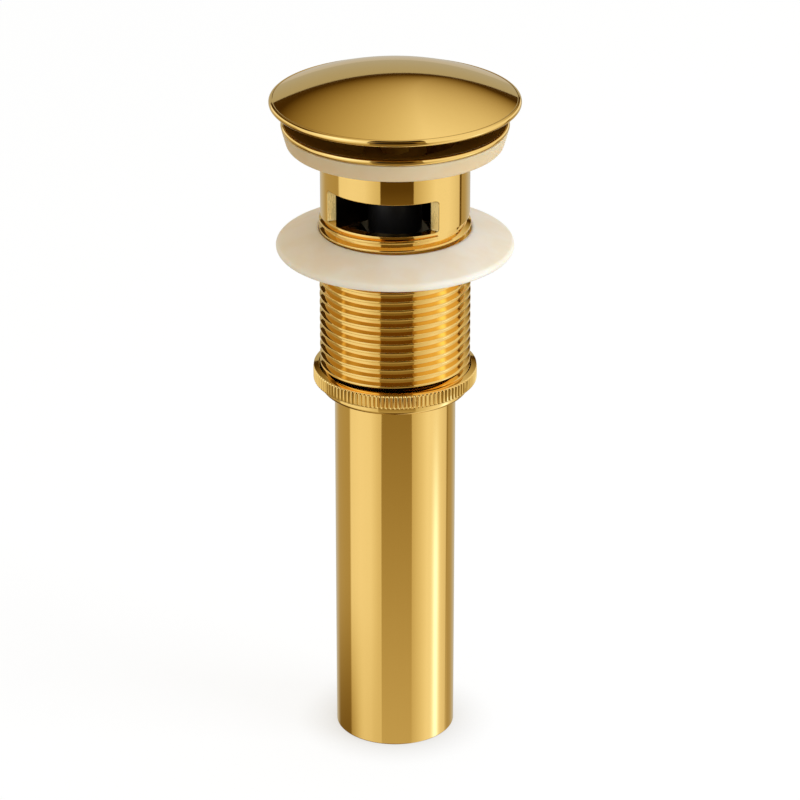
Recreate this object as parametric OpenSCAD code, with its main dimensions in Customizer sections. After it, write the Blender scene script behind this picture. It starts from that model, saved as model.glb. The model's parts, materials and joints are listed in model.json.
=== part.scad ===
// Push-to-open basin waste with overflow windows, standing on the end of its tail tube.
// Millimetres, +Z up, everything turned about Z, with the foot of the tube at Z = 0.

/* [Tail tube] */
// Outside diameter of the tail tube
tube_d = 32; // [30:0.1:34]
// Wall of the tail tube
tube_wall = 1.2; // [0.8:0.1:1.8]
// Length of tube below the body
tube_free = 100; // [60:1:200]
// Length of tube screwed into the body
tube_grip = 14; // [8:0.5:16]
// Depth of the screwed end under the tube's outside
grip_step = 0.2; // [0.1:0.05:0.4]
// Thickness of the gasket above the tube
tail_gasket_t = 1.6; // [1:0.1:2.4]
// Thickness of the lip that the gasket bears on
lip_t = 2; // [1:0.1:3]

/* [Threaded shank] */
// Diameter over the thread crests
thread_d = 39.6; // [38.6:0.1:44]
// Length from the lower end to the overflow neck
shank_l = 49.7; // [44:0.1:80]
// Length of the plain lead at the lower end
lead_l = 2.2; // [1:0.1:2.5]
// Depth of the lead under the thread crests
lead_step = 0.3; // [0.1:0.05:0.8]
// Chamfer round the lower end
lead_chamfer = 0.5; // [0.2:0.1:1]
// Distance from one thread to the next
thread_pitch = 2.37; // [2:0.01:3]
// Depth of the thread
thread_depth = 1.15; // [0.6:0.05:1.3]
// Width of the flat on a crest of the thread
crest_w = 0.8; // [0.4:0.05:0.9]
// Slope of a flank of the thread
flank_angle = 27.5; // [20:0.5:30]

/* [Overflow neck] */
// Depth of the neck under the thread crests
neck_step = 0.35; // [0.1:0.05:0.8]
// Wall of the neck
neck_wall = 2.6; // [1.8:0.1:3.2]
// Length from the thread to the rim of the flange
neck_l = 23.3; // [20:0.1:30]
// Height of the window's sill above the thread
window_rise = 0.3; // [0.2:0.1:2]
// Height of an overflow window
window_h = 8.65; // [5:0.05:11]
// Angle that an overflow window takes up
window_angle = 97.6; // [60:0.2:120]
// Corner radius of the windows
window_corner = 1; // [0.5:0.1:2]

/* [Flange] */
// Diameter of the flange
flange_d = 59; // [56:0.1:66]
// Thickness of the rounded rim
rim_t = 1.6; // [1.2:0.1:2.4]
// Fall of the flange's underside from the rim to the neck
flange_drop = 3.3; // [2:0.1:4]
// Fall of the dished seat from the rim to the throat
dish_drop = 3.3; // [2:0.1:4]
// Width of the flared edge round the throat
throat_flare = 1.15; // [0.5:0.05:2]
// Height of the flared edge round the throat
throat_drop = 0.8; // [0.4:0.1:1.5]

/* [Upper seal] */
// Inset of the upper seal from the edge of the flange
seal_inset = 0.2; // [0:0.05:0.6]
// Taper of the upper seal's edge over its height
seal_taper = 1.35; // [0.5:0.05:3]
// Height of the upper seal
seal_h = 4.9; // [4.2:0.1:7]

/* [Tapered washer] */
// Diameter of the tapered washer
washer_d = 62.1; // [56:0.1:68]
// Height of the tapered washer
washer_h = 6; // [4:0.1:8]
// Thickness of its rounded rim
washer_rim_t = 2.4; // [1.6:0.1:3.2]
// Width of the flat round its bore
washer_land = 0.6; // [0.3:0.1:1.5]
// Distance from the neck down to the washer's top
washer_drop = 4.3; // [2:0.1:10]

/* [Lock nut] */
// Width of the lock nut outside the thread
nut_w = 1.8; // [1.4:0.05:4]
// Height of the lock nut
nut_h = 3.75; // [3:0.05:6]
// Number of knurl teeth
knurl_count = 116; // [80:1:140]
// Depth of the knurl
knurl_depth = 0.38; // [0.2:0.02:0.6]
// Chamfer at the ends of the knurl
knurl_chamfer = 0.35; // [0.1:0.05:0.5]
// Height of the nut above the body's lower end
nut_rise = 2.6; // [2.4:0.1:20]
// Thickness of the slip ring on the nut
slip_t = 0.5; // [0.4:0.05:1]
// Inset of the slip ring from the knurl's tips
slip_inset = 0.1; // [0.05:0.05:0.4]
// Gap between the slip ring and the thread
slip_gap = 0.1; // [0.05:0.05:0.5]

/* [Cap] */
// Width of cap past the flange
cap_overhang = 3; // [2:0.1:6]
// Thickness of the rounded bead round the cap
cap_bead = 1.8; // [1.4:0.1:2.6]
// Depth that the dome's edge sits in the bead
dome_sink = 0.1; // [0.05:0.01:0.3]
// Rise of the dome above its edge
dome_h = 6.77; // [4:0.01:12]
// Wall of the dome
cap_wall = 1.4; // [1:0.1:2]
// Open gap between the flange and the raised cap
cap_lift = 4.5; // [4:0.1:6]
// Depth of the hollow inside the bead
skirt_h = 1.3; // [1:0.05:1.5]
// Diameter of the centre of the cap's seal
cap_seal_d = 47.6; // [44:0.1:52]
// Thickness of the cap's seal
cap_seal_t = 3; // [2:0.1:3.2]
// Wall behind the groove of the cap's seal
groove_wall = 1.1; // [0.8:0.1:2]
// Diameter of the boss under the dome
boss_d = 11; // [9:0.1:14]
// Height of the boss under the dome
boss_h = 11; // [10:0.1:13]

/* [Stud] */
// Diameter of the stud between cap and plunger
stud_d = 5; // [4:0.1:5.4]
// Length of stud in the boss and in the plunger
stud_grip = 8; // [5:0.1:9]
// Width across the flats of the stud's nut
stud_nut_w = 8; // [7:0.1:10]
// Height of the stud's nut
stud_nut_h = 2.7; // [2:0.1:4]

/* [Cartridge] */
// Outside diameter of the barrel
barrel_d = 14; // [13.4:0.1:15]
// Wall of the barrel
barrel_wall = 1.4; // [1:0.1:1.6]
// Height of the guide ribs inside the barrel
rib_h = 0.85; // [0.6:0.05:1]
// Angle that a guide rib takes up
rib_angle = 25; // [18:0.5:26]
// Width across the flats of the barrel's collar
collar_w = 16; // [15.4:0.1:17]
// Height of the barrel's collar
collar_h = 3.5; // [2:0.1:5]
// Thickness of the gasket under the collar
barrel_gasket_t = 1; // [0.6:0.1:2]
// Width across the flats of the nut under the bridge
barrel_nut_w = 17; // [16:0.1:17.2]
// Height of the nut under the bridge
barrel_nut_h = 4; // [3:0.1:6]
// Wall of the gland over the barrel
gland_wall = 1.1; // [0.8:0.1:1.6]
// Length of gland over the barrel
gland_skirt = 5; // [3:0.1:7]
// Thickness of the gland's end
gland_plate = 4; // [3:0.1:5]
// Thickness of the seal round the plunger
gland_seal_t = 1.8; // [1.2:0.1:2]
// Diameter of the plunger's shaft
plunger_d = 7.2; // [7:0.1:7.6]
// Height of the plunger's splined head
head_h = 6; // [4.5:0.1:8]
// Angle that a spline of the plunger takes up
spline_angle = 40; // [30:1:50]

/* [Ratchet] */
// Number of guide ribs, splines and fins
track_count = 4; // [3:1:4]
// Height of the rotor
rotor_h = 6; // [6:0.1:8]
// Angle that a fin of the rotor takes up
fin_angle = 13; // [10:0.5:14]
// Depth of the crown teeth
tooth_h = 1; // [0.6:0.05:1.2]
// Angle by which the rotor's teeth stand off the plunger's notches
tooth_lag = 14; // [8:0.5:16]
// Gap between the rotor's core and the guide ribs
core_gap = 0.45; // [0.2:0.05:0.8]
// Diameter of the rotor's pins
pivot_d = 3.6; // [3:0.1:4]
// Length of the rotor's upper pin above its teeth
pivot_l = 4.5; // [3:0.1:6]
// Length of the rotor's lower pin
tail_pin_l = 3; // [2:0.1:4]
// Thickness of the washer between rotor and spring
thrust_t = 0.8; // [0.5:0.1:1.2]
// Length of the spring when the cap is up
spring_l = 17; // [14:0.1:20]
// Gap between the spring and the barrel
spring_gap = 0.7; // [0.3:0.05:1.2]
// Thickness of the spring's wire
wire_d = 0.9; // [0.6:0.05:1.1]
// Number of turns of the spring
spring_turns = 7; // [5:1:9]
// Length of the plug inside the barrel
plug_h = 4; // [2:0.1:6]
// Thickness of the plug's head
plug_head_h = 1.2; // [0.8:0.1:2]
// Length of the pin that centres the spring on the plug
plug_pin_l = 2.5; // [1:0.1:4]

/* [Bridge] */
// Distance from the rim of the flange down to the bridge's seat
seat_drop = 37; // [35:0.1:38]
// Width of the seat under the bridge
seat_step = 0.8; // [0.4:0.1:1.2]
// Height of the bridge
bridge_h = 5; // [4:0.1:6]
// Width of the bridge's outer ring
bridge_rim = 1.4; // [1:0.1:2]
// Wall of the bridge's hub
hub_wall = 1.9; // [1.4:0.1:2.2]
// Width of an arm of the bridge
arm_w = 3; // [2:0.1:4]
// Number of arms of the bridge
arm_count = 4; // [2:2:4]

/* [Clearances] */
// Gap round pieces that are screwed or pressed together
fit = 0.05; // [0.02:0.01:0.08]
// Gap round pieces that slide or turn on each other
slide_gap = 0.1; // [0.05:0.01:0.15]
// Gap left where a moving piece meets its stop
stop_gap = 0.3; // [0.2:0.05:0.5]

/* [Hidden] */
$fn = 96;

// Colours of the finishes
gold = "goldenrod";
brass = "darkgoldenrod";
cream = "antiquewhite";
black = "dimgray";
white = "whitesmoke";
steel = "silver";

// Small overlap for cuts that run out of a face
cut = 1;

// Radii of the body, from the tube outwards
tube_r = tube_d / 2;
tube_bore_r = tube_r - tube_wall;
grip_r = tube_r - grip_step;
socket_r = grip_r + fit;
thread_r = thread_d / 2;
lead_r = thread_r - lead_step;
neck_r = thread_r - neck_step;
bore_r = neck_r - neck_wall;
low_bore_r = bore_r - seat_step;
throat_r = bore_r + throat_flare;
rim_round = rim_t / 2;
rim_ring_r = flange_d / 2 - rim_round;

// Heights of the body, from the foot upwards
body_z = tube_free;
tube_top = body_z + tube_grip;
lip_z = tube_top + tail_gasket_t;
neck_z = body_z + shank_l;
rim_z = neck_z + neck_l;
rim_top = rim_z + rim_t;
seat_z = rim_z - seat_drop;
window_z = neck_z + window_rise;

// Thread, drawn as level grooves that leave a crest at each end
thread_z = body_z + lead_l + lead_step;
thread_l = neck_z - neck_step - thread_z;
thread_count = floor((thread_l - crest_w) / thread_pitch);
first_groove_z = thread_z + (thread_l - (thread_count - 1) * thread_pitch) / 2;
groove_half_w = (thread_pitch - crest_w) / 2;
root_half_w = groove_half_w - thread_depth * tan(flank_angle);

// Heights on the flange's conical underside and on its dished seat, at radius r
function underside_at(r) = rim_z - flange_drop * (rim_ring_r - r) / (rim_ring_r - neck_r);
function dish_at(r) = rim_top - dish_drop * (rim_ring_r - r) / (rim_ring_r - throat_r);
dish_tilt = atan(dish_drop / (rim_ring_r - throat_r));

// Cap, raised
bead_r = cap_bead / 2;
bead_ring_r = flange_d / 2 + cap_overhang - bead_r;
cap_z = rim_top + cap_lift;
dome_z = cap_z + cap_bead - dome_sink;
dome_r = (bead_ring_r * bead_ring_r + dome_h * dome_h) / (2 * dome_h);
dome_centre_z = dome_z + dome_h - dome_r;
hollow_r = dome_r - cap_wall;
hollow_top = dome_centre_z + hollow_r;
land_z = cap_z + skirt_h;
press_travel = cap_lift + skirt_h - stop_gap;
cap_cord_r = cap_seal_t / 2;
cap_seal_r = cap_seal_d / 2;
cap_seal_z = dish_at(cap_seal_r) + (cap_cord_r + stop_gap) / cos(dish_tilt) + press_travel;
groove_r = cap_seal_r - cap_cord_r - groove_wall;

// Push mechanism, hung from the boss under the dome
boss_z = hollow_top - boss_h;
stud_nut_z = boss_z - fit - stud_nut_h;
plunger_top = stud_nut_z - fit;
gland_top = plunger_top - press_travel - stop_gap;
barrel_top = gland_top - gland_plate;
gland_z = barrel_top - gland_skirt;
head_top = barrel_top - stop_gap;
head_z = head_top - head_h;
stud_r = stud_d / 2;
stud_hole_r = stud_r + fit;
shaft_r = plunger_d / 2;
barrel_r = barrel_d / 2;
barrel_bore_r = barrel_r - barrel_wall;
rib_r = barrel_bore_r - rib_h;
head_core_r = rib_r - slide_gap;
spline_r = barrel_bore_r - slide_gap;
gland_r = barrel_r + fit + gland_wall;
gland_cord_r = gland_seal_t / 2;
gland_seal_r = shaft_r + fit + gland_cord_r;
gland_seal_z = gland_top - gland_plate / 2;

// Ratchet, stacked down from the plunger's head
tooth_count = 2 * track_count;
tooth_half = 180 / tooth_count;
tooth_clear = 0.15;
rotor_tip = head_z + tooth_h - tooth_h * tooth_lag / tooth_half - tooth_clear;
rotor_z = rotor_tip - rotor_h;
rib_z = rotor_tip - press_travel + stop_gap;
pivot_r = pivot_d / 2;
spring_r = barrel_bore_r - spring_gap;
thrust_z = rotor_z - slide_gap - thrust_t;
spring_top = thrust_z - fit;
spring_z = spring_top - spring_l;
plug_top = spring_z - fit;
barrel_z = plug_top - plug_h;

// Bridge and what clamps the barrel to it
bridge_top = seat_z + bridge_h;
bridge_r = bore_r - fit;
hub_r = barrel_r + fit + hub_wall;
collar_z = bridge_top + barrel_gasket_t;

// Seals, washer and nut on the outside
washer_z = neck_z - washer_drop - washer_h;
washer_bore_r = thread_r + slide_gap;
nut_r = thread_r + nut_w;
nut_z = body_z + nut_rise;
nut_top = nut_z + nut_h;

// A round tube
module sleeve(r_out, r_in, z, h) {
    translate([0, 0, z]) difference() {
        cylinder(r = r_out, h = h);
        translate([0, 0, -cut]) cylinder(r = r_in, h = h + 2 * cut);
    }
}

// A ring of round section
module round_ring(ring_r, cord_r, z) {
    translate([0, 0, z]) rotate_extrude() translate([ring_r, 0]) circle(r = cord_r);
}

// A hexagonal nut with a plain bore
module hex_nut(flats, bore, z, h) {
    translate([0, 0, z]) difference() {
        cylinder(d = flats / cos(30), h = h, $fn = 6);
        translate([0, 0, -cut]) cylinder(r = bore, h = h + 2 * cut);
    }
}

// Blocks that take up an angle between two radii, repeated round the axis
module sectors(r_in, r_out, angle, z, h, count, turn = 0) {
    for (i = [0 : count - 1])
        rotate([0, 0, turn + i * 360 / count - angle / 2])
            rotate_extrude(angle = angle)
                translate([r_in, z]) square([r_out - r_in, h]);
}

// Radial V-notches, with their roots at height z and opening downwards
module crown_notches(r, z, turn) {
    half_w = r * tan(tooth_half);
    for (i = [0 : tooth_count - 1])
        rotate([0, 0, turn + 2 * i * tooth_half])
            translate([0, 0, z])
                rotate([90, 0, 90])
                    linear_extrude(height = r + cut)
                        polygon([[0, 0], [-2 * half_w, -2 * tooth_h], [2 * half_w, -2 * tooth_h]]);
}

// One overflow window, facing -Y, with round corners and radial ends
module window_cut() {
    end_turn = window_angle / 2 - asin(window_corner / neck_r);
    depth = neck_wall + 2 * cut;
    rotate([0, 0, -90 - end_turn])
        rotate_extrude(angle = 2 * end_turn)
            translate([bore_r - cut, window_z]) square([depth, window_h]);
    for (side = [-1, 1])
        rotate([0, 0, -90 + side * end_turn])
            translate([bore_r - cut, 0, window_z]) {
                for (up = [window_corner, window_h - window_corner])
                    translate([0, 0, up]) rotate([0, 90, 0]) cylinder(r = window_corner, h = depth);
                translate([0, -window_corner, window_corner])
                    cube([depth, 2 * window_corner, window_h - 2 * window_corner]);
            }
}

module cap_dome() {
    color(gold) difference() {
        union() {
            // Shell of the dome over its rounded bead
            difference() {
                intersection() {
                    translate([0, 0, dome_centre_z]) sphere(r = dome_r);
                    translate([0, 0, land_z]) cylinder(r = bead_ring_r, h = dome_h + cap_bead);
                }
                translate([0, 0, dome_centre_z]) sphere(r = hollow_r);
            }
            round_ring(bead_ring_r, bead_r, cap_z + bead_r);
            // Boss for the stud and carrier for the seal, both run up into the shell
            intersection() {
                translate([0, 0, dome_centre_z]) sphere(r = hollow_r + cap_wall / 2);
                union() {
                    translate([0, 0, boss_z]) cylinder(d = boss_d, h = boss_h + cap_wall);
                    sleeve(cap_seal_r - cap_cord_r / 4, groove_r, cap_seal_z - 0.8 * cap_cord_r,
                           dome_h + cap_bead);
                }
            }
        }
        round_ring(cap_seal_r, cap_cord_r + fit, cap_seal_z);
        translate([0, 0, boss_z - cut]) cylinder(r = stud_hole_r, h = stud_grip + fit + cut);
    }
}

module cap_seal() {
    color(black) round_ring(cap_seal_r, cap_cord_r, cap_seal_z);
}

module cap_stud() {
    color(steel) translate([0, 0, plunger_top - stud_grip])
        cylinder(r = stud_r, h = boss_z - plunger_top + 2 * stud_grip);
}

module stud_nut() {
    color(steel) hex_nut(stud_nut_w, stud_hole_r, stud_nut_z, stud_nut_h);
}

module plunger() {
    color(brass) difference() {
        union() {
            translate([0, 0, head_z]) cylinder(r = shaft_r, h = plunger_top - head_z);
            translate([0, 0, head_z]) cylinder(r = head_core_r, h = head_h);
            sectors(pivot_r, spline_r, spline_angle, head_z, head_h, track_count);
        }
        crown_notches(spline_r, head_z + tooth_h, 0);
        translate([0, 0, head_z - cut])
            cylinder(r = pivot_r + slide_gap, h = tooth_h + pivot_l + stop_gap + cut);
        translate([0, 0, plunger_top - stud_grip - fit]) cylinder(r = stud_hole_r, h = stud_grip + fit + cut);
    }
}

module gland() {
    color(brass) difference() {
        union() {
            sleeve(gland_r, barrel_r + fit, gland_z, gland_skirt);
            sleeve(gland_r, shaft_r + slide_gap, barrel_top, gland_plate);
        }
        round_ring(gland_seal_r, gland_cord_r + fit, gland_seal_z);
    }
}

module gland_seal() {
    color(black) round_ring(gland_seal_r, gland_cord_r, gland_seal_z);
}

module barrel() {
    color(black) {
        sleeve(barrel_r, barrel_bore_r, barrel_z, barrel_top - barrel_z);
        sectors(rib_r, barrel_bore_r + barrel_wall / 2, rib_angle, rib_z, barrel_top - rib_z, track_count,
                180 / track_count);
        hex_nut(collar_w, barrel_r - barrel_wall / 2, collar_z, collar_h);
    }
}

module barrel_gasket() {
    color(black) sleeve(hub_r, barrel_r + fit, bridge_top, barrel_gasket_t);
}

module barrel_nut() {
    color(brass) hex_nut(barrel_nut_w, barrel_r + fit, seat_z - barrel_nut_h, barrel_nut_h);
}

module ratchet_rotor() {
    color(white) {
        difference() {
            union() {
                translate([0, 0, rotor_z]) cylinder(r = rib_r - core_gap, h = rotor_h);
                sectors(pivot_r, spline_r, fin_angle, rotor_z, rotor_h, track_count);
            }
            // Teeth that match the plunger's, turned over and set back by the lag
            translate([0, 0, 2 * rotor_tip - tooth_h]) mirror([0, 0, 1])
                crown_notches(spline_r, rotor_tip, tooth_half - tooth_lag);
        }
        translate([0, 0, rotor_z - tail_pin_l]) cylinder(r = pivot_r, h = tail_pin_l + rotor_h + pivot_l);
    }
}

module thrust_washer() {
    color(steel) sleeve(barrel_bore_r - stop_gap, pivot_r + slide_gap, thrust_z, thrust_t);
}

// Height of the wire after t turns, with one closed turn at each end
function wire_rise(t) =
    let (open_pitch = (spring_l - 3 * wire_d) / (spring_turns - 2))
    t < 1 ? t * wire_d : t > spring_turns - 1 ? spring_l - wire_d - (spring_turns - t) * wire_d
    : wire_d + (t - 1) * open_pitch;

module spring() {
    sides = 8;
    turn_steps = 16;
    coil_r = spring_r - wire_d / 2;
    steps = spring_turns * turn_steps;
    points = [for (i = [0 : steps], k = [0 : sides - 1])
        let (a = 360 * i / turn_steps, b = 360 * k / sides, r = coil_r + wire_d / 2 * cos(b))
        [r * cos(a), r * sin(a), spring_z + wire_d / 2 + wire_rise(i / turn_steps) + wire_d / 2 * sin(b)]];
    walls = [for (i = [0 : steps - 1], k = [0 : sides - 1])
        let (n = (k + 1) % sides)
        [i * sides + k, i * sides + n, (i + 1) * sides + n, (i + 1) * sides + k]];
    ends = [[for (k = [sides - 1 : -1 : 0]) k], [for (k = [0 : sides - 1]) steps * sides + k]];
    color(steel) polyhedron(points, concat(walls, ends));
}

module spring_plug() {
    pin_r = spring_r - wire_d - stop_gap;
    color(black) {
        translate([0, 0, barrel_z - plug_head_h]) cylinder(r = barrel_r, h = plug_head_h);
        translate([0, 0, barrel_z - plug_head_h / 2])
            cylinder(r = barrel_bore_r - fit, h = plug_h + plug_head_h / 2);
        translate([0, 0, barrel_z]) cylinder(r = pin_r, h = plug_h + plug_pin_l);
    }
}

module bridge() {
    arm_l = bridge_r - bridge_rim / 2 - barrel_r - hub_wall / 2;
    color(brass) {
        sleeve(bridge_r, bridge_r - bridge_rim, seat_z, bridge_h);
        sleeve(hub_r, barrel_r + fit, seat_z, bridge_h);
        for (i = [0 : arm_count - 1])
            rotate([0, 0, 45 + i * 360 / arm_count])
                translate([barrel_r + hub_wall / 2, -arm_w / 2, seat_z]) cube([arm_l, arm_w, bridge_h]);
    }
}

module waste_body() {
    lead = [
        [socket_r, body_z],
        [lead_r - lead_chamfer, body_z],
        [lead_r, body_z + lead_chamfer],
        [lead_r, body_z + lead_l],
        [thread_r, thread_z]
    ];
    groove = [
        [0, -groove_half_w],
        [thread_depth, -root_half_w],
        [thread_depth, root_half_w],
        [0, groove_half_w]
    ];
    thread = [for (i = [0 : thread_count - 1], p = groove)
        [thread_r - p[0], first_groove_z + i * thread_pitch + p[1]]];
    head = [
        [thread_r, thread_z + thread_l],
        [neck_r, neck_z],
        [neck_r, underside_at(neck_r)],
        [rim_ring_r, rim_z],
        [rim_ring_r, rim_top],
        [throat_r, dish_at(throat_r)],
        [bore_r, dish_at(throat_r) - throat_drop],
        [bore_r, seat_z],
        [low_bore_r, seat_z],
        [low_bore_r, lip_z + lip_t],
        [tube_bore_r, lip_z + lip_t],
        [tube_bore_r, lip_z],
        [socket_r, lip_z]
    ];
    color(gold) difference() {
        union() {
            rotate_extrude() polygon(concat(lead, thread, head));
            round_ring(rim_ring_r, rim_round, rim_z + rim_round);
        }
        for (turn = [0, 180])
            rotate([0, 0, turn]) window_cut();
    }
}

module upper_seal() {
    bore = neck_r + fit;
    seal_r = flange_d / 2 - seal_inset;
    color(cream) rotate_extrude()
        polygon([
            [bore, rim_z - seal_h],
            [seal_r - seal_taper, rim_z - seal_h],
            [seal_r, rim_z - fit],
            [rim_ring_r, rim_z - fit],
            [bore, underside_at(bore) - fit]
        ]);
}

module tapered_washer() {
    rim_steps = 12;
    rim_r = washer_rim_t / 2;
    ring_r = washer_d / 2 - rim_r;
    // The cone runs from the flat at the bore to where it touches the round rim
    top = [washer_bore_r + washer_land, washer_h];
    rise = top - [ring_r, rim_r];
    touch = atan2(rise[1], rise[0]) - acos(rim_r / norm(rise));
    rim = [for (i = [0 : rim_steps])
        let (a = -90 + (touch + 90) * i / rim_steps)
        [ring_r + rim_r * cos(a), rim_r + rim_r * sin(a)]];
    color(cream) translate([0, 0, washer_z]) rotate_extrude()
        polygon(concat([[washer_bore_r, 0]], rim, [top, [washer_bore_r, washer_h]]));
}

module slip_ring() {
    color(gold) sleeve(nut_r - slip_inset, thread_r + slip_gap, nut_top + fit, slip_t);
}

module lock_nut() {
    step = 360 / knurl_count;
    teeth = [for (i = [0 : knurl_count - 1], k = [0, 1])
        let (r = nut_r - k * knurl_depth, a = (i + k / 2) * step)
        [r * cos(a), r * sin(a)]];
    color(gold) translate([0, 0, nut_z]) difference() {
        intersection() {
            linear_extrude(height = nut_h) polygon(teeth);
            rotate_extrude()
                polygon([
                    [0, 0],
                    [nut_r - knurl_chamfer, 0],
                    [nut_r + knurl_chamfer, 2 * knurl_chamfer],
                    [nut_r + knurl_chamfer, nut_h - 2 * knurl_chamfer],
                    [nut_r - knurl_chamfer, nut_h],
                    [0, nut_h]
                ]);
        }
        translate([0, 0, -cut]) cylinder(r = thread_r + fit, h = nut_h + 2 * cut);
    }
}

module tail_tube() {
    color(gold) rotate_extrude()
        polygon([
            [tube_bore_r, 0],
            [tube_r, 0],
            [tube_r, body_z],
            [grip_r, body_z],
            [grip_r, tube_top],
            [tube_bore_r, tube_top]
        ]);
}

module tail_gasket() {
    color(black) sleeve(grip_r, tube_bore_r + slide_gap, tube_top, tail_gasket_t);
}

cap_dome();
cap_seal();
cap_stud();
stud_nut();
plunger();
gland();
gland_seal();
barrel();
barrel_gasket();
barrel_nut();
ratchet_rotor();
thrust_washer();
spring();
spring_plug();
bridge();
waste_body();
upper_seal();
tapered_washer();
slip_ring();
lock_nut();
tail_tube();
tail_gasket();
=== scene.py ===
"""Dresses a push-to-open basin waste: polished gold plate, cream seals and a click cartridge in a bright studio."""
import json
import math

import bpy
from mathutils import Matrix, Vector


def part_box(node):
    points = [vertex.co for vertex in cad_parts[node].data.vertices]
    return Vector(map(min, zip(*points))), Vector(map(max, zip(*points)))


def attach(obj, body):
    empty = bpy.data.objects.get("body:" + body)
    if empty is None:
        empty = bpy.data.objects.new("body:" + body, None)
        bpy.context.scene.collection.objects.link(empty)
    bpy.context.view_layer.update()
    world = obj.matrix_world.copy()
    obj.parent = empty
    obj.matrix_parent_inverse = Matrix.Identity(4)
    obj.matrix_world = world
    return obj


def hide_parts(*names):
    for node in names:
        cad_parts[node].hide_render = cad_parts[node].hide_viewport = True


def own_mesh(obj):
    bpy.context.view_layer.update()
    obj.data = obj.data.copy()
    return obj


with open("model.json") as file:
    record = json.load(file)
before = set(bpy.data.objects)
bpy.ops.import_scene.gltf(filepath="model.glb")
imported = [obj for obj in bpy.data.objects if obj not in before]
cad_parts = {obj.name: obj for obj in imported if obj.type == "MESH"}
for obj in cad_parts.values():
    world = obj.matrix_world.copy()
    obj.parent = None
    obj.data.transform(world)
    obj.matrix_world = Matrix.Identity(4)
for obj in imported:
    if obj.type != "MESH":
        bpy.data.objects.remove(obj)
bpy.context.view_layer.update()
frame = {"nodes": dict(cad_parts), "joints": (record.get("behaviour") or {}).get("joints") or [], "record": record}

bl_info = {
    "name": "Basin Waste",
    "version": (1, 0, 0),
    "blender": (4, 5, 0),
    "location": "View3D > Sidebar > Basin Waste",
    "description": "Models the visible pieces of a push-to-open basin waste and sets up its studio",
    "category": "Object",
}

MM = 0.001

# Angles of the lathe: this many columns put the ends and the middle of both overflow windows on a column,
# and half as many do for the thread and the pieces inside
LATHE_STEPS = 236
COARSE_STEPS = LATHE_STEPS // 2
COLUMN = 2 * math.pi / LATHE_STEPS
WINDOW_COLUMNS = 32
WINDOW_MIDDLES = (-math.pi / 2, math.pi / 2)
MERGE_DISTANCE = 1e-6
SMOOTH_ANGLE = math.radians(32)


def mount(name):
    """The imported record's entry for one mount."""
    return next(m for m in frame["record"]["mounts"] if m["name"] == name)


def outer_radius(node):
    """Largest radius of a turned node."""
    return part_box(node)[1].x


# Heights and radii that the frame gives
TUBE_R = mount("tail_spigot")["dims"]["r_mm"] * MM
TUBE_BORE_R = mount("drain_bore")["dims"]["r_mm"] * MM
THREAD_R = mount("threaded_shank")["dims"]["r_mm"] * MM
BODY_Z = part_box("waste_body")[0].z
RIM_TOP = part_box("waste_body")[1].z
FLANGE_R = outer_radius("waste_body")
TUBE_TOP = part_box("tail_tube")[1].z
SEAT_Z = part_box("bridge")[0].z
LIP_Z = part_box("tail_gasket")[1].z


def length_property(name, description, millimetres):
    """A length that a user can change, with its default in millimetres."""
    return bpy.props.FloatProperty(name=name, description=description, default=millimetres * MM, unit="LENGTH")


def colour_property(name, description, default):
    """A colour that a user can change."""
    return bpy.props.FloatVectorProperty(name=name, description=description, default=default, subtype="COLOR")


class WasteSizes(bpy.types.PropertyGroup):
    """Sizes of the visible pieces that the frame's boxes don't give."""

    neck_step: length_property("Neck step", "Depth of the overflow neck under the thread crests", 0.35)
    neck_wall: length_property("Neck wall", "Wall of the overflow neck", 2.6)
    shank_length: length_property("Shank length", "Length from the body's lower end to the overflow neck", 49.7)
    window_rise: length_property("Window sill", "Height of the overflow windows above the thread", 0.3)
    window_height: length_property("Window height", "Height of an overflow window", 8.65)
    window_corner: length_property("Window corner", "Corner radius of the overflow windows", 1.0)
    window_edge: length_property("Window edge", "Rounding of the windows' edges", 0.18)
    rim_thickness: length_property("Rim", "Thickness of the flange's rounded rim", 1.6)
    dish_drop: length_property("Dish", "Fall of the flange from its rim to the throat and to the neck", 3.3)
    throat_flare: length_property("Throat flare", "Width of the flared edge round the throat", 1.15)
    throat_drop: length_property("Throat drop", "Height of the flared edge round the throat", 0.8)
    seat_step: length_property("Bridge seat", "Width of the seat under the bridge", 0.8)
    lip_thickness: length_property("Lip", "Thickness of the lip above the tail's gasket", 2.0)
    lead_length: length_property("Lead", "Length of the plain lead below the thread", 2.2)
    lead_step: length_property("Lead step", "Depth of the lead under the thread crests", 0.3)
    grip_step: length_property("Grip step", "Depth of the tube's screwed end under its outside", 0.2)
    fit: length_property("Fit", "Gap round pieces that are screwed or pressed together", 0.05)
    thread_pitch: length_property("Thread pitch", "Height of one turn of the shank's thread", 2.37)
    thread_depth: length_property("Thread depth", "Depth of the shank's thread", 1.15)
    crest_width: length_property("Thread crest", "Width of the thread's crest", 0.52)
    crest_round: length_property("Crest rounding", "Radius of the crest's edges", 0.15)
    thread_start: length_property("Thread start", "Height of the first crest above the lead", 1.78)
    flank_angle: bpy.props.FloatProperty(
        name="Thread flank", description="Slope of a thread flank", default=math.radians(27.5), subtype="ANGLE")
    knurl_teeth: bpy.props.IntProperty(
        name="Knurl teeth", description="Number of teeth round the lock nut", default=116)
    knurl_depth: length_property("Knurl depth", "Depth of the lock nut's knurl", 0.38)
    bead_thickness: length_property("Cap bead", "Thickness of the rounded bead round the cap", 1.8)
    cap_lift: length_property("Cap lift", "Open gap between the flange and the raised cap", 4.5)
    cap_wall: length_property("Cap wall", "Wall of the dome", 1.4)


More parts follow.
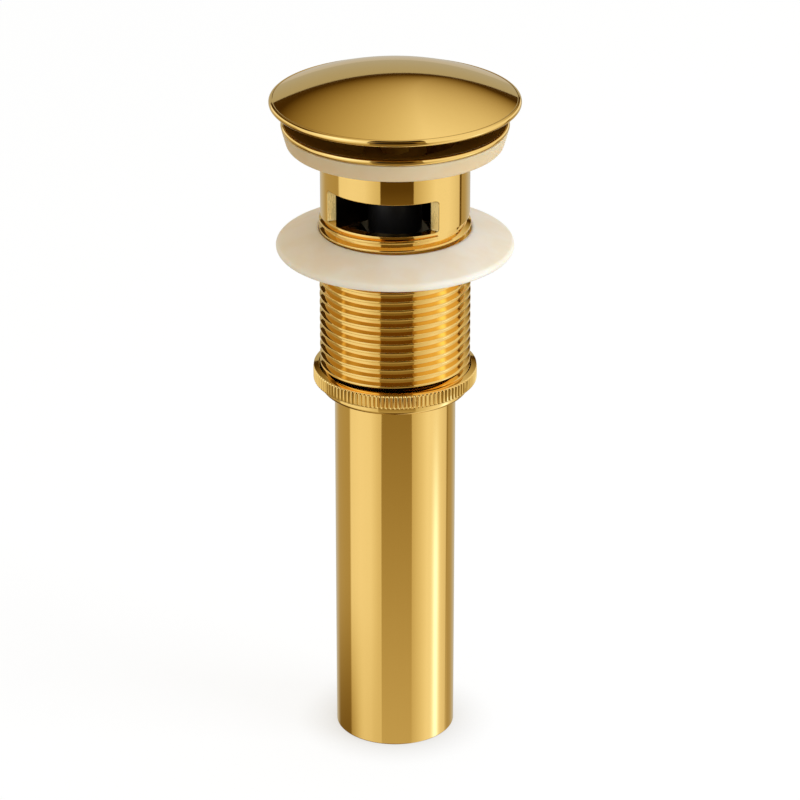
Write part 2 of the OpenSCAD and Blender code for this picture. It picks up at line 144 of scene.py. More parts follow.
class WasteColours(bpy.types.PropertyGroup):
    """Colours of the finishes."""

    gold: colour_property("Gold plate", "Polished gold plate", (0.91, 0.62, 0.20))
    # Partly painted highlight: a satin milled finish, made paler and only part metal so the window walls show a
    # bright sheen
    milled: colour_property("Milled gold", "Paler plate on the milled walls of the windows", (1.0, 0.80, 0.36))
    cream: colour_property("Cream rubber", "Translucent rubber of the basin seals", (0.90, 0.845, 0.77))
    # A shaded copy of the cream rubber: painted shade and a painted warm gold reflection make the upper seal under
    # the flange darker and warmer
    shaded_cream: colour_property(
        "Upper seal", "Thicker rubber under the flange, warm with the gold behind it", (0.76, 0.61, 0.41))
    soot: colour_property("Black rubber", "O-rings and gaskets", (0.018, 0.017, 0.016))
    ink: colour_property("Black plastic", "Moulded cartridge parts", (0.012, 0.012, 0.013))
    chalk: colour_property("White plastic", "Ratchet rotor", (0.78, 0.77, 0.73))
    steel: colour_property("Steel", "Stud, nut, washer and spring", (0.56, 0.55, 0.53))
    brass: colour_property("Raw brass", "Turned brass that isn't plated", (0.42, 0.23, 0.05))
    # Matt dark brown without reflections, a painted shade for the gap under the cap: the cap's underside, the
    # flange's dish, the upper bore, the plunger and the gland
    stain: colour_property("Stained brass", "Tarnished brass under the cap", (0.36, 0.16, 0.016))
    # Near black, a painted shade: stands in for the deep shadow in the body's bore, the nut's crevice and the ring's
    # bore
    bore: colour_property("Dark bore", "Unpolished bore of the body", (0.020, 0.013, 0.006))


class WasteStudio(bpy.types.PropertyGroup):
    """The camera and the studio round the part."""

    azimuth: bpy.props.FloatProperty(
        name="Azimuth", description="Turn of the camera round the part", default=math.radians(15), subtype="ANGLE")
    elevation: bpy.props.FloatProperty(
        name="Elevation", description="Height angle of the camera", default=math.radians(24.47), subtype="ANGLE")
    distance: bpy.props.FloatProperty(
        name="Distance", description="Distance of the camera from its target", default=1.0, unit="LENGTH")
    target: length_property("Target", "Height on the axis that the camera looks at", 95)
    lens: bpy.props.FloatProperty(name="Lens", description="Focal length in millimetres", default=169.5)
    shift: bpy.props.FloatVectorProperty(
        name="Shift", description="Shift of the frame, as a share of its width", size=2, default=(0.0061, 0.0031))
    fill: bpy.props.FloatProperty(name="Fill", description="Strength of the even light all round", default=0.76)
    key: bpy.props.FloatProperty(
        name="Key", description="Power of the soft lamp on the right", default=5.5, unit="POWER")
    grey: bpy.props.FloatProperty(
        name="Rear card", description="Brightness of the card behind the part", default=0.47)
    rear_top: bpy.props.FloatProperty(
        name="Rear card's top", description="Height of the rear card's top for each metre of distance", default=0.38)


# Shader maths

class Value:
    """A node's output with arithmetic: every operator adds a Math node to the tree."""

    def __init__(self, graph, socket):
        self.graph = graph
        self.socket = socket

    def math(self, operation, *others):
        """One Math node with this value first."""
        inputs = dict(enumerate((self,) + others))
        return self.graph.add("ShaderNodeMath", {"operation": operation}, inputs)

    def __add__(self, other):
        return self.math("ADD", other)

    def __sub__(self, other):
        return self.math("SUBTRACT", other)

    def __mul__(self, other):
        return self.math("MULTIPLY", other)

    def __truediv__(self, other):
        return self.math("DIVIDE", other)

    def __pow__(self, other):
        return self.math("POWER", other)

    def __rsub__(self, other):
        return self.graph.add("ShaderNodeMath", {"operation": "SUBTRACT"}, {0: other, 1: self})

    __radd__ = __add__
    __rmul__ = __mul__

    def blend(self, other, share):
        """This value with a share of another mixed in."""
        return self + (other - self) * share

    def within(self, start, end, soft):
        """1 between two bounds and 0 outside them, with soft edges."""
        return self.step(start, start + soft) * (1 - self.step(end - soft, end))

    def bell(self, middle, width):
        """A bell curve that is 1 at the middle and falls off over the width."""
        offset = (self - middle) / width
        return (offset * offset * -1).math("EXPONENT")

    def step(self, start, end):
        """A smooth step from 0 at the start to 1 at the end."""
        return self.graph.add(
            "ShaderNodeMapRange", {"interpolation_type": "SMOOTHSTEP"},
            {"Value": self, "From Min": start, "From Max": end})


class Graph:
    """A node tree with one method that adds any node."""

    def __init__(self, tree):
        self.tree = tree
        tree.nodes.clear()

    def add(self, kind, settings=None, inputs=None, output=0):
        """Adds a node, sets it up, feeds its sockets and returns one of its outputs."""
        node = self.tree.nodes.new(kind)
        for name, setting in (settings or {}).items():
            if name == "stops":
                self.set_stops(node.color_ramp, setting)
            else:
                setattr(node, name, setting)
        for name, value in (inputs or {}).items():
            socket = node.inputs[name]
            if isinstance(value, Value):
                self.tree.links.new(value.socket, socket)
            elif hasattr(value, "__len__") and socket.type == "RGBA":
                socket.default_value = (*value[:3], 1)
            else:
                socket.default_value = value
        return Value(self, node.outputs[output]) if node.outputs else None

    @staticmethod
    def set_stops(ramp, stops):
        """Gives a ramp its stops, each a position and a colour."""
        while len(ramp.elements) < len(stops):
            ramp.elements.new(1)
        for element, (position, colour) in zip(ramp.elements, stops):
            element.position = position
            element.color = (*colour, 1)

    def mix(self, factor, first, second):
        """A mix of two colours."""
        return self.add(
            "ShaderNodeMix", {"data_type": "RGBA", "clamp_factor": True}, {0: factor, 6: first, 7: second}, 2)

    def noise(self, scale, detail=2.0, stretch=(1, 1, 1)):
        """Noise on the piece's own coordinates, with its scale in features per metre."""
        place = self.add("ShaderNodeTexCoord", output="Object")
        place = self.add("ShaderNodeMapping", {}, {"Vector": place, "Scale": stretch})
        return self.add("ShaderNodeTexNoise", {}, {"Vector": place, "Scale": scale, "Detail": detail})

    def parts(self, vector):
        """The three parts of a vector."""
        return [self.add("ShaderNodeSeparateXYZ", {}, {0: vector}, axis) for axis in range(3)]

    def levels(self, value, stops):
        """A level read off a line of stops, each a position from 0 to 1 and a level."""
        return self.add("ShaderNodeValToRGB", {"stops": [(at, (level,) * 3) for at, level in stops]}, {"Fac": value})

    def finish(self, shader):
        """Connects the tree's surface."""
        self.add("ShaderNodeOutputMaterial", {}, {"Surface": shader})


def new_material(name):
    """A material and its empty graph."""
    material = bpy.data.materials.new(name)
    material.use_nodes = True
    return material, Graph(material.node_tree)


def gold_plate(name, colour, stretch, roughness=0.03, metal=1.0):
    """Gold plate: a deeper tone in places, fine drawn lines along the stretch and a breath of haze."""
    material, graph = new_material(name)
    lines = graph.noise(2600, 3.0, stretch)
    haze = graph.noise(70, 3.0)
    deep = tuple(c * k for c, k in zip(colour, (0.95, 0.92, 0.84)))
    tone = graph.mix(lines * 0.35 + haze * 0.35 - 0.1, colour, deep)
    grain = graph.add("ShaderNodeBump", {}, {"Strength": 0.012, "Distance": 0.02 * MM, "Height": lines})
    graph.finish(graph.add("ShaderNodeBsdfPrincipled", {}, {
        "Base Color": tone,
        "Metallic": metal,
        "Roughness": roughness + lines * 0.025 + haze * 0.025,
        "Normal": grain,
    }))
    return material


def dull_brass(name, colour, roughness, metal=1.0):
    """Turned brass without plating: fine tool marks, and a stained tone; also the matt dark finishes painted as
    shade.
    """
    material, graph = new_material(name)
    rings = graph.noise(1800, 2.0, (0.15, 0.15, 1))
    stain = graph.noise(160, 4.0)
    graph.finish(graph.add("ShaderNodeBsdfPrincipled", {}, {
        "Base Color": graph.mix(stain, colour, tuple(c * 0.6 for c in colour)),
        "Metallic": metal,
        "Specular IOR Level": 0.0,
        "Roughness": roughness + rings * 0.15,
        "Normal": graph.add("ShaderNodeBump", {}, {"Strength": 0.2, "Distance": 0.03 * MM, "Height": rings}),
    }))
    return material


def milky_rubber(name, colour):
    """Milky rubber that lets light in, with faint clouds and a fine moulded skin."""
    material, graph = new_material(name)
    clouds = graph.noise(110, 3.0)
    skin = graph.noise(5200, 2.0)
    warm = tuple(c * k for c, k in zip(colour, (0.97, 0.93, 0.86)))
    graph.finish(graph.add("ShaderNodeBsdfPrincipled", {}, {
        "Base Color": graph.mix(clouds.step(0.35, 0.7), colour, warm),
        "Roughness": 0.36 + clouds * 0.12 + skin * 0.06,
        "Subsurface Weight": 0.6,
        "Subsurface Radius": (1.0, 0.75, 0.5),
        "Subsurface Scale": 4 * MM,
        "Specular IOR Level": 0.42,
        "Normal": graph.add("ShaderNodeBump", {}, {"Strength": 0.05, "Distance": 0.02 * MM, "Height": skin}),
    }))
    return material


def moulding(name, colour, roughness, grain_scale):
    """Moulded plastic or rubber with a fine eroded skin and a little flow shading."""
    material, graph = new_material(name)
    skin = graph.noise(grain_scale, 3.0)
    flow = graph.noise(240, 2.0, (1, 1, 0.3))
    pale = tuple(min(1.0, c * 1.35 + 0.004) for c in colour)
    graph.finish(graph.add("ShaderNodeBsdfPrincipled", {}, {
        "Base Color": graph.mix(flow * 0.8, colour, pale),
        "Roughness": roughness + skin * 0.15,
        "Normal": graph.add("ShaderNodeBump", {}, {"Strength": 0.12, "Distance": 0.03 * MM, "Height": skin}),
    }))
    return material


def bright_steel(name, colour):
    """Drawn and turned steel with fine lines round the axis."""
    material, graph = new_material(name)
    lines = graph.noise(2400, 3.0, (0.2, 0.2, 1))
    pale = tuple(min(1.0, c * 1.15) for c in colour)
    graph.finish(graph.add("ShaderNodeBsdfPrincipled", {}, {
        "Base Color": graph.mix(lines, colour, pale),
        "Metallic": 1.0,
        "Roughness": 0.2 + lines * 0.18,
        "Normal": graph.add("ShaderNodeBump", {}, {"Strength": 0.15, "Distance": 0.02 * MM, "Height": lines}),
    }))
    return material


def finish_of(name):
    """A finish by its name, made when it is first asked for."""
    colours = bpy.context.scene.waste_colours
    makers = {
        "turned_gold": lambda: gold_plate(name, colours.gold, (0.25, 0.25, 1)),
        "drawn_gold": lambda: gold_plate(name, colours.gold, (1, 1, 0.012)),
        # Satin milled walls with a painted sheen: paler colour, rougher and only part metal
        "milled_gold": lambda: gold_plate(name, colours.milled, (1, 1, 0.2), 0.25, 0.3),
        "milky_rubber": lambda: milky_rubber(name, colours.cream),
        # The cream rubber with painted shade and a painted warm reflection, for the upper seal
        "shaded_milky_rubber": lambda: milky_rubber(name, colours.shaded_cream),
        "raw_brass": lambda: dull_brass(name, colours.brass, 0.2),
        "matt_rubber": lambda: moulding(name, colours.soot, 0.6, 4200),
        "moulded_black": lambda: moulding(name, colours.ink, 0.32, 2600),
        "moulded_white": lambda: moulding(name, colours.chalk, 0.3, 3000),
        "bright_steel": lambda: bright_steel(name, colours.steel),
        # Painted shade: matt dark brown for the shaded parts in the gap under the cap
        "stained_brass": lambda: dull_brass(name, colours.stain, 0.5, 0.0),
        # Near black, a painted shade for the bore below the windows, the nut's crevice and the ring's bore
        "dark_bore": lambda: dull_brass(name, colours.bore, 0.45),
    }
    return bpy.data.materials.get(name) or makers[name]()


# Outlines of half sections, as radius and height

def spread(start, end, steps):
    """Evenly spaced numbers from start to end."""
    return [start + (end - start) * i / steps for i in range(steps + 1)]


def arc(centre, radius, start, end, steps):
    """Points along an arc between two angles in degrees."""
    return [(centre[0] + radius * math.cos(math.radians(a)), centre[1] + radius * math.sin(math.radians(a)))
            for a in spread(start, end, steps)]


def softened(corners, steps=5):
    """An outline with rounded corners: each corner is a radius, a height and its rounding."""
    points = []
    for i, (r, z, rounding) in enumerate(corners):
        if not rounding:
            points.append((r, z))
            continue
        here = Vector((r, z))
        back = (Vector(corners[i - 1][:2]) - here).normalized()
        ahead = (Vector(corners[(i + 1) % len(corners)][:2]) - here).normalized()
        half = back.angle(ahead) / 2
        centre = here + (back + ahead).normalized() * (rounding / math.sin(half))
        first = here + back * (rounding / math.tan(half)) - centre
        last = here + ahead * (rounding / math.tan(half)) - centre
        start = math.degrees(math.atan2(first.y, first.x))
        turn = (math.degrees(math.atan2(last.y, last.x)) - start + 180) % 360 - 180
        points += arc(centre, rounding, start, start + turn, steps)
    return points


# Modelling by hand

def deselect():
    """Leaves edit mode and clears the selection."""
    if bpy.context.object and bpy.context.object.mode != "OBJECT":
        bpy.ops.object.mode_set(mode="OBJECT")
    bpy.ops.object.select_all(action="DESELECT")


def draw_outline(name, outline, closed=True):
    """Draws an outline in the XZ plane by extruding one vertex after another, and stays in edit mode."""
    deselect()
    bpy.ops.mesh.primitive_plane_add(size=MM)
    piece = bpy.context.object
    piece.name = piece.data.name = name
    bpy.ops.object.mode_set(mode="EDIT")
    bpy.ops.mesh.select_mode(type="VERT")
    bpy.ops.mesh.merge(type="CENTER")
    bpy.ops.transform.translate(value=(outline[0][0], 0, outline[0][1]))
    route = outline + outline[:1] if closed else outline
    for (r, z), (next_r, next_z) in zip(route, route[1:]):
        bpy.ops.mesh.extrude_vertices_move(TRANSFORM_OT_translate={"value": (next_r - r, 0, next_z - z)})
    bpy.ops.mesh.select_all(action="SELECT")
    bpy.ops.mesh.remove_doubles(threshold=MERGE_DISTANCE)
    return piece


def turned(name, outline, closed=True, steps=LATHE_STEPS):
    """Turns an outline round the Z axis, with its faces outwards, and stays in edit mode."""
    piece = draw_outline(name, outline, closed)
    bpy.ops.mesh.spin(steps=steps, angle=2 * math.pi, center=(0, 0, 0), axis=(0, 0, 1))
    bpy.ops.mesh.select_all(action="SELECT")
    bpy.ops.mesh.remove_doubles(threshold=MERGE_DISTANCE)
    bpy.ops.mesh.normals_make_consistent(inside=False)
    return piece


def choose(piece, mode, test):
    """Selects the vertices or faces of a piece whose place passes the test, in edit mode."""
    bpy.ops.mesh.select_mode(type=mode)
    bpy.ops.mesh.select_all(action="DESELECT")
    bpy.ops.object.mode_set(mode="OBJECT")
    mesh = piece.data
    if mode == "VERT":
        for vertex in mesh.vertices:
            vertex.select = test(vertex.co)
    else:
        for face in mesh.polygons:
            face.select = test(face.center)
    bpy.ops.object.mode_set(mode="EDIT")


def paint(piece, finish, others):
    """Gives a piece one finish, and others on the faces that pass their tests, the last test first."""
    for name in (finish, *others):
        piece.data.materials.append(finish_of(name))
    for face in piece.data.polygons:
        passed = [index for index, test in enumerate(others.values(), 1) if test(face.center)]
        face.material_index = passed[-1] if passed else 0


def complete(piece, body, finish, slot, *nodes, **others):
    """Gives a piece its finishes, smooths it and lets it ride in place of its nodes."""
    deselect()
    paint(piece, finish, others)
    piece.select_set(True)
    bpy.context.view_layer.objects.active = piece
    bpy.ops.object.shade_smooth_by_angle(angle=SMOOTH_ANGLE)
    # Flat faces keep their own direction, and the small roundings between them take up the turn
    even = piece.modifiers.new("even", "WEIGHTED_NORMAL")
    even.keep_sharp = True
    bpy.ops.object.modifier_apply(modifier=even.name)
    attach(piece, body)
    if nodes:
        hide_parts(*nodes)


def choose_open_edges():
    """Selects the edges round the holes of a mesh, in edit mode."""
    bpy.ops.mesh.select_mode(type="EDGE")
    bpy.ops.mesh.select_all(action="DESELECT")
    bpy.ops.mesh.select_non_manifold(
        extend=False, use_wire=False, use_multi_face=False, use_non_contiguous=False, use_verts=False)


def radius_of(point):
    """Distance of a point from the axis."""
    return math.hypot(point.x, point.y)


def on_wall(r, angle, height):
    """A point by its radius, its angle round the axis and its height."""
    return Vector((r * math.cos(angle), r * math.sin(angle), height))


def turn_from(point, middle):
    """Angle of a point round the axis, counted from a middle direction."""
    return (math.atan2(point.y, point.x) - middle + math.pi) % (2 * math.pi) - math.pi


# Operators, one for each piece or group of like pieces

class WASTE_OT_cap(bpy.types.Operator):
    """Model the domed cap with its bead, seal carrier and boss."""

    bl_idname = "waste.cap"
    bl_label = "Cap"

    def execute(self, context):
        sizes = context.scene.waste_sizes
        low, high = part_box("cap_dome")
        seal_low, seal_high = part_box("cap_seal")
        bead_r = sizes.bead_thickness / 2
        bead = (high.x - bead_r, RIM_TOP + sizes.cap_lift + bead_r)
        # The dome is a sphere through the apex that dips into the bead
        sink = 0.1 * MM
        rise = high.z - (bead[1] + bead_r - sink)
        dome_r = (bead[0] ** 2 + rise ** 2) / (2 * rise)
        centre = (0, high.z - dome_r)
        hollow_r = dome_r - sizes.cap_wall

        def angle_at(radius, r):
            return math.degrees(math.acos(r / radius))

        def height_at(radius, r):
            return centre[1] + math.sqrt(radius ** 2 - r ** 2)

        # Height of the flat land inside the bead, above the bead's middle
        land = 1.3 * MM - bead_r
        land_turn = math.degrees(math.asin(land / bead_r))
        land_z = bead[1] + land
        hollow_edge = math.sqrt(hollow_r ** 2 - (land_z - centre[1]) ** 2)
        cord_r = (seal_high.z - seal_low.z) / 2
        groove = (seal_high.x - cord_r, seal_low.z + cord_r)
        groove_r = cord_r + sizes.fit
        carrier_out = groove[0] - cord_r / 4
        carrier_in = groove[0] - cord_r - 1.1 * MM
        carrier_z = groove[1] - 0.8 * cord_r
        groove_turn = (104, 231)
        boss_r = 5.5 * MM
        hole_r = 2.55 * MM
        hole_depth = 8.05 * MM
        # Where the dome runs into the bead: its distance from the bead's middle and its angle on the bead
        meet = 0.17 * MM
        meet_turn = 99
        outline = arc(centre, dome_r, 90, angle_at(dome_r, bead[0] - meet), steps=56)
        outline += arc(bead, bead_r, meet_turn, -180 - land_turn, steps=44)
        outline += arc(centre, hollow_r, angle_at(hollow_r, hollow_edge), angle_at(hollow_r, carrier_out), steps=8)
        outline += arc(groove, groove_r, *groove_turn, steps=14)
        outline += [(carrier_in, carrier_z)]
        outline += arc(centre, hollow_r, angle_at(hollow_r, carrier_in), angle_at(hollow_r, boss_r), steps=20)
        outline += softened([
            (boss_r, height_at(hollow_r, boss_r), 0),
            (boss_r, low.z, 0.3 * MM),
            (hole_r, low.z, 0.2 * MM),
            (hole_r, low.z + hole_depth, 0),
        ])
        outline += [(0, low.z + hole_depth)]
        cap = turned("cap", outline, closed=False)

        def is_inside(point):
            below_dome = (point - Vector((0, 0, centre[1]))).length < dome_r - bead_r
            return below_dome and radius_of(point) < bead[0] - 0.8 * bead_r

        # The cap's underside is painted matt dark brown as shade under the dome
        complete(cap, "plug", "turned_gold", "gold_plate", "cap_dome", stained_brass=is_inside)
        return {"FINISHED"}


class WASTE_OT_body(bpy.types.Operator):
    """Turn the body with its dished flange, and cut the two overflow windows."""

    bl_idname = "waste.body"
    bl_label = "Body"

    def execute(self, context):
        sizes = context.scene.waste_sizes
        neck_r = THREAD_R - sizes.neck_step
        bore_r = neck_r - sizes.neck_wall
        low_bore_r = bore_r - sizes.seat_step
        socket_r = TUBE_R - sizes.grip_step + sizes.fit
        root_r = THREAD_R - sizes.thread_depth
        lead_r = THREAD_R - sizes.lead_step
        neck_z = BODY_Z + sizes.shank_length
        sill = neck_z + sizes.window_rise
        head = sill + sizes.window_height
        corner = sizes.window_corner
        rim_r = sizes.rim_thickness / 2
        rim = (FLANGE_R - rim_r, RIM_TOP - rim_r)
        throat_r = bore_r + sizes.throat_flare
        dish_z = RIM_TOP - sizes.dish_drop
        rows = [sill, sill + corner / 2] + spread(sill + corner, head - corner, 6) + [head - corner / 2, head]
        outline = softened([
            (socket_r, BODY_Z, 0.2 * MM),
            (lead_r, BODY_Z, 0.9 * MM),
            (lead_r, BODY_Z + sizes.lead_length, 0.15 * MM),
            (root_r, BODY_Z + sizes.lead_length + 0.2 * MM, 0),
            (root_r, neck_z - 0.5 * MM, 0),
            (neck_r, neck_z - 0.1 * MM, 0.1 * MM),
        ])
        outline += [(neck_r, z) for z in rows]
        above = head + 4 * MM
        outline += [(neck_r, above), (neck_r, RIM_TOP - sizes.rim_thickness - sizes.dish_drop)]
        outline += arc(rim, rim_r, -90, 90, steps=20)
        outline += softened([
            (rim[0], RIM_TOP, 0),
            (throat_r, dish_z, 0.5 * MM),
            (bore_r, dish_z - sizes.throat_drop, 0.4 * MM),
            (bore_r, head, 0),
        ])[1:-1]
        outline += [(bore_r, above)]
        outline += [(bore_r, z) for z in reversed(rows)]
        outline += [
            (bore_r, SEAT_Z), (low_bore_r, SEAT_Z),
            (low_bore_r, LIP_Z + sizes.lip_thickness), (TUBE_BORE_R, LIP_Z + sizes.lip_thickness),
            (TUBE_BORE_R, LIP_Z), (socket_r, LIP_Z),
        ]
        body = turned("waste_body_turned", outline)
        for middle in WINDOW_MIDDLES:
            self.cut_window(body, middle, (bore_r, neck_r), (sill, head), corner, sizes.window_edge)
        # The bore below the windows' head is painted near black as shade, so the windows look dark inside
        dark_below = head + 2 * MM

        def is_bore(point):
            return radius_of(point) < bore_r + 0.02 * MM

        # The flange's dish and the upper bore are painted matt dark brown as shade under the cap
        def is_shaded(point):
            dish = point.z > dish_z - sizes.throat_drop and radius_of(point) < rim[0] - 0.2 * MM
            return dish or is_bore(point)

        def is_painted_shade(point):
            return is_bore(point) and point.z < dark_below

        # The windows' milled walls: satin finish with a painted sheen
        def is_milled(point):
            wall = bore_r + 0.1 * MM < radius_of(point) < neck_r - 0.1 * MM
            return wall and sill + 0.1 * MM < point.z < head - 0.1 * MM

        complete(body, "waste", "turned_gold", "gold_plate", "waste_body",
                 stained_brass=is_shaded, dark_bore=is_painted_shade, milled_gold=is_milled)
        return {"FINISHED"}

    @staticmethod
    def cut_window(body, middle, radii, levels, corner, edge):
        """Opens one window through the neck, with round corners and softened edges."""
        reach = WINDOW_COLUMNS * COLUMN
        sill, head = levels
        near = 0.05 * MM

        def in_window(point):
            wall = any(abs(radius_of(point) - r) < 4 * near for r in radii)
            return wall and sill < point.z < head and abs(turn_from(point, middle)) < reach

        choose(body, "FACE", in_window)
        bpy.ops.mesh.delete(type="FACE")

        # One end is cut at a slant: its edge moves outwards on the neck and inwards in the bore
        bore_r, neck_r = radii
        end_of = {(side, r): middle + side * reach for side in (-1, 1) for r in radii}
        slant = 0.8 * COLUMN
        for r, move in ((neck_r, slant), (bore_r, -slant)):
            angle = middle + reach
            end_of[1, r] = angle + move
            shift = on_wall(r, end_of[1, r], 0) - on_wall(r, angle, 0)
            choose(body, "VERT", lambda point: sill - near < point.z < head + near
                   and (Vector((point.x, point.y, 0)) - on_wall(r, angle, 0)).length < near)
            bpy.ops.transform.translate(value=shift)

        # The vertices next to each outer corner move onto its arc
        arc_places = ((0, 1 - math.sqrt(0.5), 1 - math.sqrt(0.5)), (1, 1 - math.sqrt(0.75), 0))
        for side in (-1, 1):
            for level, inward in ((sill, 1), (head, -1)):
                for rows, along, rise in arc_places:
                    angle = end_of[side, neck_r]
                    height = level + inward * rows * corner / 2
                    start = on_wall(neck_r, angle, height)
                    end = on_wall(neck_r, angle - side * along * corner / neck_r, height + inward * rise * corner)
                    choose(body, "VERT", lambda point: (point - start).length < near)
                    bpy.ops.transform.translate(value=end - start)

        choose_open_edges()
        bpy.ops.mesh.bridge_edge_loops()
        bpy.ops.mesh.region_to_loop()
        bpy.ops.mesh.bevel(offset=edge, segments=3, affect="EDGES")


class WASTE_OT_thread(bpy.types.Operator):
    """Wind the thread's ridge round the shank."""

    bl_idname = "waste.thread"
    bl_label = "Thread"

    def execute(self, context):
        sizes = context.scene.waste_sizes
        root_r = THREAD_R - sizes.thread_depth
        pitch = sizes.thread_pitch
        half_crest = sizes.crest_width / 2
        half_foot = half_crest + sizes.thread_depth * math.tan(sizes.flank_angle)
        sunk = 0.25 * MM
        start = BODY_Z + sizes.lead_length + sizes.thread_start
        end = BODY_Z + sizes.shank_length - half_foot - 0.1 * MM
        turns = (end - start) / pitch
        outline = softened([
            (root_r - sunk, start - half_foot - sunk * math.tan(sizes.flank_angle), 0),
            (THREAD_R, start - half_crest, sizes.crest_round),
            (THREAD_R, start + half_crest, sizes.crest_round),
            (root_r - sunk, start + half_foot + sunk * math.tan(sizes.flank_angle), 0),
        ], 4)
        thread = draw_outline("shank_thread", outline)
        bpy.ops.object.mode_set(mode="OBJECT")
        winding = thread.modifiers.new("winding", "SCREW")
        winding.axis = "Z"
        winding.angle = 2 * math.pi * turns
        winding.screw_offset = pitch * turns
        winding.steps = winding.render_steps = int(COARSE_STEPS * turns)
        bpy.ops.object.modifier_apply(modifier=winding.name)
        bpy.ops.object.mode_set(mode="EDIT")
        choose_open_edges()
        bpy.ops.mesh.edge_face_add()
        bpy.ops.mesh.select_all(action="SELECT")
        bpy.ops.mesh.normals_make_consistent(inside=False)
        complete(thread, "waste", "turned_gold", "gold_plate")
        return {"FINISHED"}


class WASTE_OT_lock_nut(bpy.types.Operator):
    """Model the knurled lock nut and the smooth ring on top of it."""

    bl_idname = "waste.lock_nut"
    bl_label = "Lock nut and slip ring"

    columns = 8

    def execute(self, context):
        sizes = context.scene.waste_sizes
        low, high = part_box("lock_nut")
        wall = 1.8 * MM
        nut_r = THREAD_R + wall
        bore_r = THREAD_R + sizes.fit
        valley_r = nut_r - sizes.knurl_depth
        end_r = valley_r - 0.02 * MM
        chamfer = 0.35 * MM
        outline = softened([
            (bore_r, low.z, 0.15 * MM),
            (end_r, low.z, 0),
            (nut_r, low.z + chamfer, 0.12 * MM),
            (nut_r, high.z - chamfer, 0.12 * MM),
            (end_r, high.z, 0),
            (bore_r, high.z, 0.15 * MM),
        ], 3)
        nut = turned("lock_nut_knurled", outline, steps=sizes.knurl_teeth * self.columns)
        self.press_knurl(nut, sizes.knurl_teeth, nut_r, valley_r)
        # The crevice between thread, nut and ring is painted near black as shade
        ring_bore_r = THREAD_R + 0.35 * MM
        crevice_r = ring_bore_r + 0.1 * MM
        complete(nut, "nut", "turned_gold", "gold_plate", "lock_nut",
                 dark_bore=lambda point: radius_of(point) < crevice_r)

        ring_low, ring_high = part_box("slip_ring")
        edge = 0.08 * MM
        fall = 0.3 * MM
        ring = turned("slip_ring_smooth", softened([
            (ring_bore_r, ring_low.z, edge), (ring_high.x, ring_low.z, edge),
            (ring_high.x, ring_high.z - fall, edge), (ring_bore_r, ring_high.z, edge)]))
        # The ring's bore is painted near black as shade as well
        complete(ring, "nut_slip", "turned_gold", "gold_plate", "slip_ring",
                 dark_bore=lambda point: radius_of(point) < ring_bore_r + 0.02 * MM)
        return {"FINISHED"}

    def press_knurl(self, nut, teeth, nut_r, valley_r):
        """Presses the grooves in, one set of columns at a time: flat teeth with round-bottomed grooves."""
        step = 2 * math.pi / teeth
        depths = {0: 1.0, 1: 0.82, 2: 0.28}
        for column, depth in depths.items():
            def in_column(point):
                phase = (math.atan2(point.y, point.x) / step * self.columns) % self.columns
                offset = min(abs(phase - place) for place in (column, self.columns - column, self.columns + column))
                return radius_of(point) > valley_r + 0.01 * MM and offset < 0.25

            choose(nut, "VERT", in_column)
            scale = (nut_r - (nut_r - valley_r) * depth) / nut_r
            bpy.ops.transform.resize(value=(scale, scale, 1), center_override=(0, 0, 0))


class WASTE_OT_tail(bpy.types.Operator):
    """Turn the tail tube with its broken edges."""

    bl_idname = "waste.tail"
    bl_label = "Tail tube"

    def execute(self, context):
        sizes = context.scene.waste_sizes
        grip_r = TUBE_R - sizes.grip_step
        outline = softened([
            (TUBE_BORE_R, 0, 0.25 * MM),
            (TUBE_R, 0, 0.3 * MM),
            (TUBE_R, BODY_Z, 0.1 * MM),
            (grip_r, BODY_Z, 0),
            (grip_r, TUBE_TOP, 0.15 * MM),
            (TUBE_BORE_R, TUBE_TOP, 0.15 * MM),
        ])
        tube = turned("tail_tube_drawn", outline)
        complete(tube, "waste", "drawn_gold", "gold_plate", "tail_tube")
        return {"FINISHED"}


